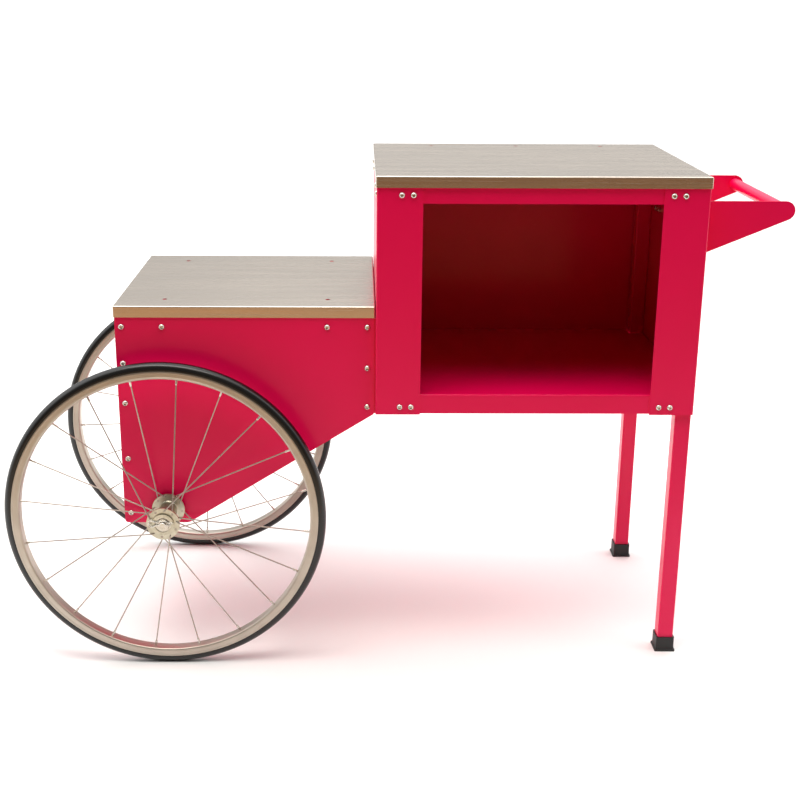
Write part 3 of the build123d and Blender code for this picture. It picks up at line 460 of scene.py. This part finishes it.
def rim_outline():
    """A channel that opens outward. The upper half is drawn and then mirrored."""
    edge, half = RIM_R / MM, RIM_HALF / MM
    inside, face, sunk = edge - RIM_HEIGHT, half - SKIN, half - BAND_DEPTH
    trough = [(inside + 3.4, half - RIM_WALL), (inside + 3.0, half - RIM_WALL - 0.5)]
    lip = [(edge - 1.2, half - RIM_WALL), (edge, half - RIM_WALL), (edge, half - 1.2),
           (edge - 0.2, sunk)]
    side = [(edge - 0.9, face), (edge - 3.2, face), (edge - 3.7, sunk), (edge - 10.2, sunk),
            (edge - 10.7, face)]
    corner = arc(inside + RIM_CORNER, half - RIM_CORNER, RIM_CORNER, 90, 180, 6)
    upper = trough + lip + side + [(r, min(h, face)) for r, h in corner]
    return upper + [(r, -h) for r, h in reversed(upper)]


def shade_by_angle(mesh, degrees=35.0):
    """Smooth shading, except across edges sharper than the angle."""
    mesh.shade_smooth()
    mesh.set_sharp_from_angle(angle=math.radians(degrees))


for side, body in BODY_OF.items():
    for kind, outline, finish, slot in (("tyre", tyre_outline(), tyre_rubber, "tyre_rubber"),
                                        ("rim", rim_outline(), alloy, "alloy")):
        ring = turned(f"{side}_turned_{kind}", outline)
        ring.transform(places[side])
        piece = new_piece(ring.name, ring, finish)
        shade_by_angle(ring)
        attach(piece, body)
        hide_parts(f"{side}_{kind}")
print("rings: 4, of", len(tyre_outline()), "and", len(rim_outline()), "points")

# %% [markdown]
# ## Spokes as bent wire
# A wire spoke hooks through a hole in the hub's flange, turns sharply and runs straight to the rim.
# Neighbours on one flange cross close to the hub. The path of each is three points, which Python
# works out from the lacing rule. Geometry Nodes then rounds the bend and gives the path its wire
# thickness, so that the bend or the gauge can be changed in one place.

# %% A tree that turns paths into wire
def new_tree(name, sockets):
    """An empty node tree with named inputs, its group nodes, and one geometry output."""
    tree = bpy.data.node_groups.new(name, "GeometryNodeTree")
    for label, kind in sockets:
        tree.interface.new_socket(label, in_out="INPUT", socket_type="NodeSocket" + kind)
    tree.interface.new_socket("Made", in_out="OUTPUT", socket_type="NodeSocketGeometry")
    return tree, tree.nodes.new("NodeGroupInput"), tree.nodes.new("NodeGroupOutput")


def finish_tree(tree, ends, geometry, material):
    """The last steps of every tree: real geometry, in its finish."""
    whole = add(tree, "GeometryNodeRealizeInstances", links={0: geometry})
    dressed = add(tree, "GeometryNodeSetMaterial",
                  links={0: whole.outputs[0], "Material": material})
    tree.links.new(dressed.outputs[0], ends.inputs[0])


def run_tree(name, tree, base_mesh, values):
    """Runs a tree on a mesh and keeps the result as a plain mesh."""
    holder = bpy.data.objects.new(name + "_base", base_mesh)
    bpy.context.collection.objects.link(holder)
    modifier = holder.modifiers.new("make", "NODES")
    modifier.node_group = tree
    inputs = [item for item in tree.interface.items_tree if item.in_out == "INPUT"]
    identifier = {item.name: item.identifier for item in inputs}
    for label, value in values.items():
        modifier[identifier[label]] = value
    graph = bpy.context.evaluated_depsgraph_get()
    made = bpy.data.meshes.new_from_object(holder.evaluated_get(graph))
    holder.modifiers.remove(modifier)
    bpy.data.objects.remove(holder)
    made.name = name
    return made


wire_tree, start, ends = new_tree("bent_wire", [("Paths", "Geometry"), ("Wire radius", "Float"),
                                               ("Bend radius", "Float"), ("Finish", "Material")])
curves = add(wire_tree, "GeometryNodeMeshToCurve", links={0: start.outputs["Paths"]})
bends = add(wire_tree, "GeometryNodeFilletCurve",
            {"mode": "POLY", "Count": 5, "Limit Radius": True},
            {0: curves.outputs[0], "Radius": start.outputs["Bend radius"]})
section = add(wire_tree, "GeometryNodeCurvePrimitiveCircle", {"Resolution": 10},
              {"Radius": start.outputs["Wire radius"]})
solid = add(wire_tree, "GeometryNodeCurveToMesh", {"Fill Caps": True},
            {0: bends.outputs[0], "Profile Curve": section.outputs[0]})
rounded = add(wire_tree, "GeometryNodeSetShadeSmooth", links={0: solid.outputs[0]})
finish_tree(wire_tree, ends, rounded.outputs[0], start.outputs["Finish"])

# %% Lacing rule and spokes
PAIRS = 5                               # crossed pairs on each flange
STEP, FIRST = 18.0, 47.5                # degrees from spoke to spoke at the rim, and the first hole
FLANGE_AT, FLANGE_HALF, HOLE_CIRCLE = 33.9, 1.5, 24.5
WIRE_R, BEND_R, WIRE_START = 1.15, 2.4, 0.6
LIFT_INSIDE, LIFT_OUTSIDE = 0.1, 1.3    # gaps to the flange, so that crossed spokes pass clear
RIM_BED = RIM_R / MM - RIM_HEIGHT


def around(radius, degrees, height):
    """A point at an angle about the wheel's axis."""
    angle = math.radians(degrees)
    return Vector((radius * math.cos(angle), radius * math.sin(angle), height)) * MM


def lacing():
    """For each spoke: its start, its elbow past the flange, its end at the rim, its head's side."""
    laid = []
    for flange in (1, -1):
        first = FIRST if flange == 1 else FIRST - STEP
        for pair in range(PAIRS):
            near = first + pair * 4 * STEP
            far = near + 2 * STEP
            for hole, rim, outward, lift in ((near, far, -1, LIFT_INSIDE),
                                             (far, near, 1, LIFT_OUTSIDE)):
                beyond = FLANGE_AT + outward * (FLANGE_HALF + WIRE_R + lift)
                before = FLANGE_AT - outward * (FLANGE_HALF + WIRE_START)
                laid.append((around(HOLE_CIRCLE, hole, flange * before),
                             around(HOLE_CIRCLE, hole, flange * beyond),
                             around(RIM_BED, rim, 0), -outward * flange))
    return laid


def path_mesh(name, paths):
    """A mesh of bare edges, one chain for each path."""
    mesh = bpy.data.meshes.new(name)
    points, edges = [], []
    for path in paths:
        base = len(points)
        points += path
        edges += [(base + i, base + i + 1) for i in range(len(path) - 1)]
    mesh.from_pydata(points, edges, [])
    return mesh


for side, body in BODY_OF.items():
    base = path_mesh("spoke_paths", [(head, elbow, rim) for head, elbow, rim, _ in lacing()])
    made = run_tree(f"{side}_wire_spokes", wire_tree, base,
                    {"Wire radius": WIRE_R * MM, "Bend radius": BEND_R * MM, "Finish": wire})
    made.transform(places[side])
    piece = new_piece(made.name, made)
    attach(piece, body)
    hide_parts(f"{side}_spokes")
print("spokes on each wheel:", len(lacing()))

# %% [markdown]
# ## Small pieces set on points
# Screws, spoke heads and nipples are each one small shape, used many times. A second tree stands a
# copy on every point of a mesh, turned to that point's own direction. The directions are stored on
# the points as an attribute named aim.

# %% A tree that sets a piece on points
set_tree, start, ends = new_tree("set_on_points", [("Points", "Geometry"), ("Piece", "Object"),
                                                   ("Finish", "Material")])
source = add(set_tree, "GeometryNodeObjectInfo", links={"Object": start.outputs["Piece"]})
aim = add(set_tree, "GeometryNodeInputNamedAttribute", {"data_type": "FLOAT_VECTOR", "Name": "aim"})
turn = add(set_tree, "FunctionNodeAlignRotationToVector", {"axis": "Z"},
           {"Vector": aim.outputs["Attribute"]})
copies = add(set_tree, "GeometryNodeInstanceOnPoints",
             links={"Points": start.outputs["Points"], "Instance": source.outputs["Geometry"],
                    "Rotation": turn.outputs[0]})
finish_tree(set_tree, ends, copies.outputs[0], start.outputs["Finish"])


def point_mesh(name, spots):
    """A mesh of bare points, each with its own direction."""
    mesh = bpy.data.meshes.new(name)
    mesh.from_pydata([point for point, _ in spots], [], [])
    aims = mesh.attributes.new("aim", "FLOAT_VECTOR", "POINT")
    for item, (_, way) in zip(aims.data, spots):
        item.vector = way
    return mesh


def set_pieces(name, shape, spots, finish):
    """One mesh with a copy of the shape on every spot."""
    model = bpy.data.objects.new(shape.name, shape)
    bpy.context.collection.objects.link(model)
    made = run_tree(name, set_tree, point_mesh(name + "_spots", spots),
                    {"Piece": model, "Finish": finish})
    bpy.data.objects.remove(model)
    return made


# %% [markdown]
# ## Nipples and spoke heads
# A nipple is a slim sleeve that the spoke screws into, and its round head sits in the rim. A real
# one also has small square flats for a spanner, which are left out at this distance. A spoke's own
# head is a small flat button against the flange. Both are turned shapes, so the turning function
# that made the rims makes them too, with fewer steps.

# %% Nipples and heads
nipple = turned("spoke_nipple", [(0, -11.0), (1.5, -11.0), (1.9, -10.5), (2.0, -9.0), (2.0, 1.0),
                                 (2.0, 3.6), (2.9, 3.8), (2.9, 4.8), (2.2, 5.3), (0, 5.3)],
                SMALL_STEPS, closed=False)
button = turned("spoke_head", [(0, -0.2), (1.9, -0.2), (2.1, 0.1), (2.1, 0.6), (1.7, 1.0),
                               (0, 1.0)], SMALL_STEPS, closed=False)
for shape in (nipple, button):
    shade_by_angle(shape)
for side, body in BODY_OF.items():
    ends_at = [(rim, (rim - elbow).normalized()) for _, elbow, rim, _ in lacing()]
    made = set_pieces(f"{side}_turned_nipples", nipple, ends_at, zinc)
    made.transform(places[side])
    piece = new_piece(made.name, made)
    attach(piece, body)
    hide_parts(f"{side}_nipples")
    heads = []
    for head, _, _, up in lacing():
        flange = FLANGE_AT if head.z > 0 else -FLANGE_AT
        seat = Vector((head.x, head.y, (flange + up * FLANGE_HALF) * MM))
        heads.append((seat, Vector((0, 0, up))))
    made = set_pieces(f"{side}_spoke_heads", button, heads, wire)
    made.transform(places[side])
    piece = new_piece(made.name, made)
    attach(piece, body)
print("nipples and heads on each wheel:", len(heads))

# %% [markdown]
# ## Button head screws
# The sheet metal is held with zinc plated M6 button heads, whose hex sockets read as dark dots in
# bright rings. The CAD model already has a plain screw at every place. Its separate shells give the
# seat, the direction and the length of each one, and a finer screw is set there.

# %% Read the places of the CAD screws
CLEAR_OF_SHANK = 4.5                    # points farther from the axis belong to the head


def shells(node_name):
    """The separate shells of a CAD node, each as a list of points. Only a copy is merged."""
    work = bmesh.new()
    work.from_mesh(frame["nodes"][node_name].data)
    bmesh.ops.remove_doubles(work, verts=work.verts, dist=0.01 * MM)
    left, found = set(work.verts), []
    while left:
        waiting, shell = [left.pop()], []
        while waiting:
            vertex = waiting.pop()
            shell.append(vertex.co.copy())
            for link in vertex.link_edges:
                other = link.other_vert(vertex)
                if other in left:
                    left.remove(other)
                    waiting.append(other)
        found.append(shell)
    work.free()
    return found


def screw_seats(node_name):
    """The point under each head with the way the head faces, and the length of the shank."""
    seats, length = [], 0.0
    for shell in shells(node_name):
        low = [min(p[i] for p in shell) for i in range(3)]
        high = [max(p[i] for p in shell) for i in range(3)]
        axis = max(range(3), key=lambda i: high[i] - low[i])
        middle = Vector([(l + h) / 2 for l, h in zip(low, high)])
        across = [i for i in range(3) if i != axis]
        wide = [p[axis] for p in shell
                if math.hypot(*[p[i] - middle[i] for i in across]) > CLEAR_OF_SHANK * MM]
        way = 1.0 if sum(wide) / len(wide) > middle[axis] else -1.0
        seat = middle.copy()
        seat[axis] = min(wide) if way > 0 else max(wide)
        facing = Vector((0, 0, 0))
        facing[axis] = way
        seats.append((seat, facing))
        length = max(length, abs(seat[axis] - (low[axis] if way > 0 else high[axis])))
    return seats, length / MM


# %% Screw shape and screws
HEAD_DOME = ((5.25, 0.0), (5.25, 0.5), (4.95, 1.3), (4.3, 2.2), (3.4, 2.9), (2.75, 3.3))
SHANK_R, SHANK_CHAMFER = 3.0, (0.5, 0.6)
SOCKET_ACROSS, SOCKET_DEPTH = 4.0, 2.2
SOCKET_CHAMFER = 0.3                    # how much wider the hexagon is at its mouth
SCREW_STEPS = 24


def screw_shape(name, length):
    """A domed head with a chamfered hex socket, and a shank below it. Z = 0 is under the head."""
    turns = [2 * math.pi * i / SCREW_STEPS for i in range(SCREW_STEPS)]

    def circle(radius, z):
        return [(radius * math.cos(angle), radius * math.sin(angle), z) for angle in turns]

    def hexagon(flat, z):
        ring = []
        for angle in turns:
            off = (angle + math.pi / 6) % (math.pi / 3) - math.pi / 6
            radius = flat / 2 / math.cos(off)
            ring.append((radius * math.cos(angle), radius * math.sin(angle), z))
        return ring

    rise = HEAD_DOME[-1][1]
    inset, slope = SHANK_CHAMFER
    rings = [circle(SHANK_R - inset, -length), circle(SHANK_R, slope - length),
             circle(SHANK_R, 0.0)]
    rings += [circle(r, z) for r, z in HEAD_DOME]
    rings += [hexagon(SOCKET_ACROSS + SOCKET_CHAMFER, rise - 0.15),
              hexagon(SOCKET_ACROSS, rise - 0.5), hexagon(SOCKET_ACROSS, rise - SOCKET_DEPTH)]
    points = [(x * MM, y * MM, z * MM) for ring in rings for x, y, z in ring]
    faces = []
    for below in range(0, len(points) - SCREW_STEPS, SCREW_STEPS):
        for i in range(SCREW_STEPS):
            after = (i + 1) % SCREW_STEPS
            faces.append((below + i, below + after, below + SCREW_STEPS + after,
                          below + SCREW_STEPS + i))
    last = len(points) - SCREW_STEPS
    faces += [tuple(reversed(range(SCREW_STEPS))), tuple(range(last, len(points)))]
    mesh = bpy.data.meshes.new(name)
    mesh.from_pydata(points, [], faces)
    weld_and_face_out(mesh)
    shade_by_angle(mesh)
    return mesh


SCREW_NODES = ("cabinet_front_screws", "cabinet_back_screws", "cabinet_side_screws", "body_screws",
               "bulkhead_screws", "leg_bolts", "handle_bolts")
for node_name in SCREW_NODES:
    seats, length = screw_seats(node_name)
    made = set_pieces(node_name.replace("_screws", "").replace("_bolts", "") + "_button_heads",
                      screw_shape("button_head", length), seats, zinc)
    piece = new_piece(made.name, made)
    shade_by_angle(made)
    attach(piece, "cart")
    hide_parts(node_name)
    print(node_name, len(seats), "screws of", round(length, 1), "mm")
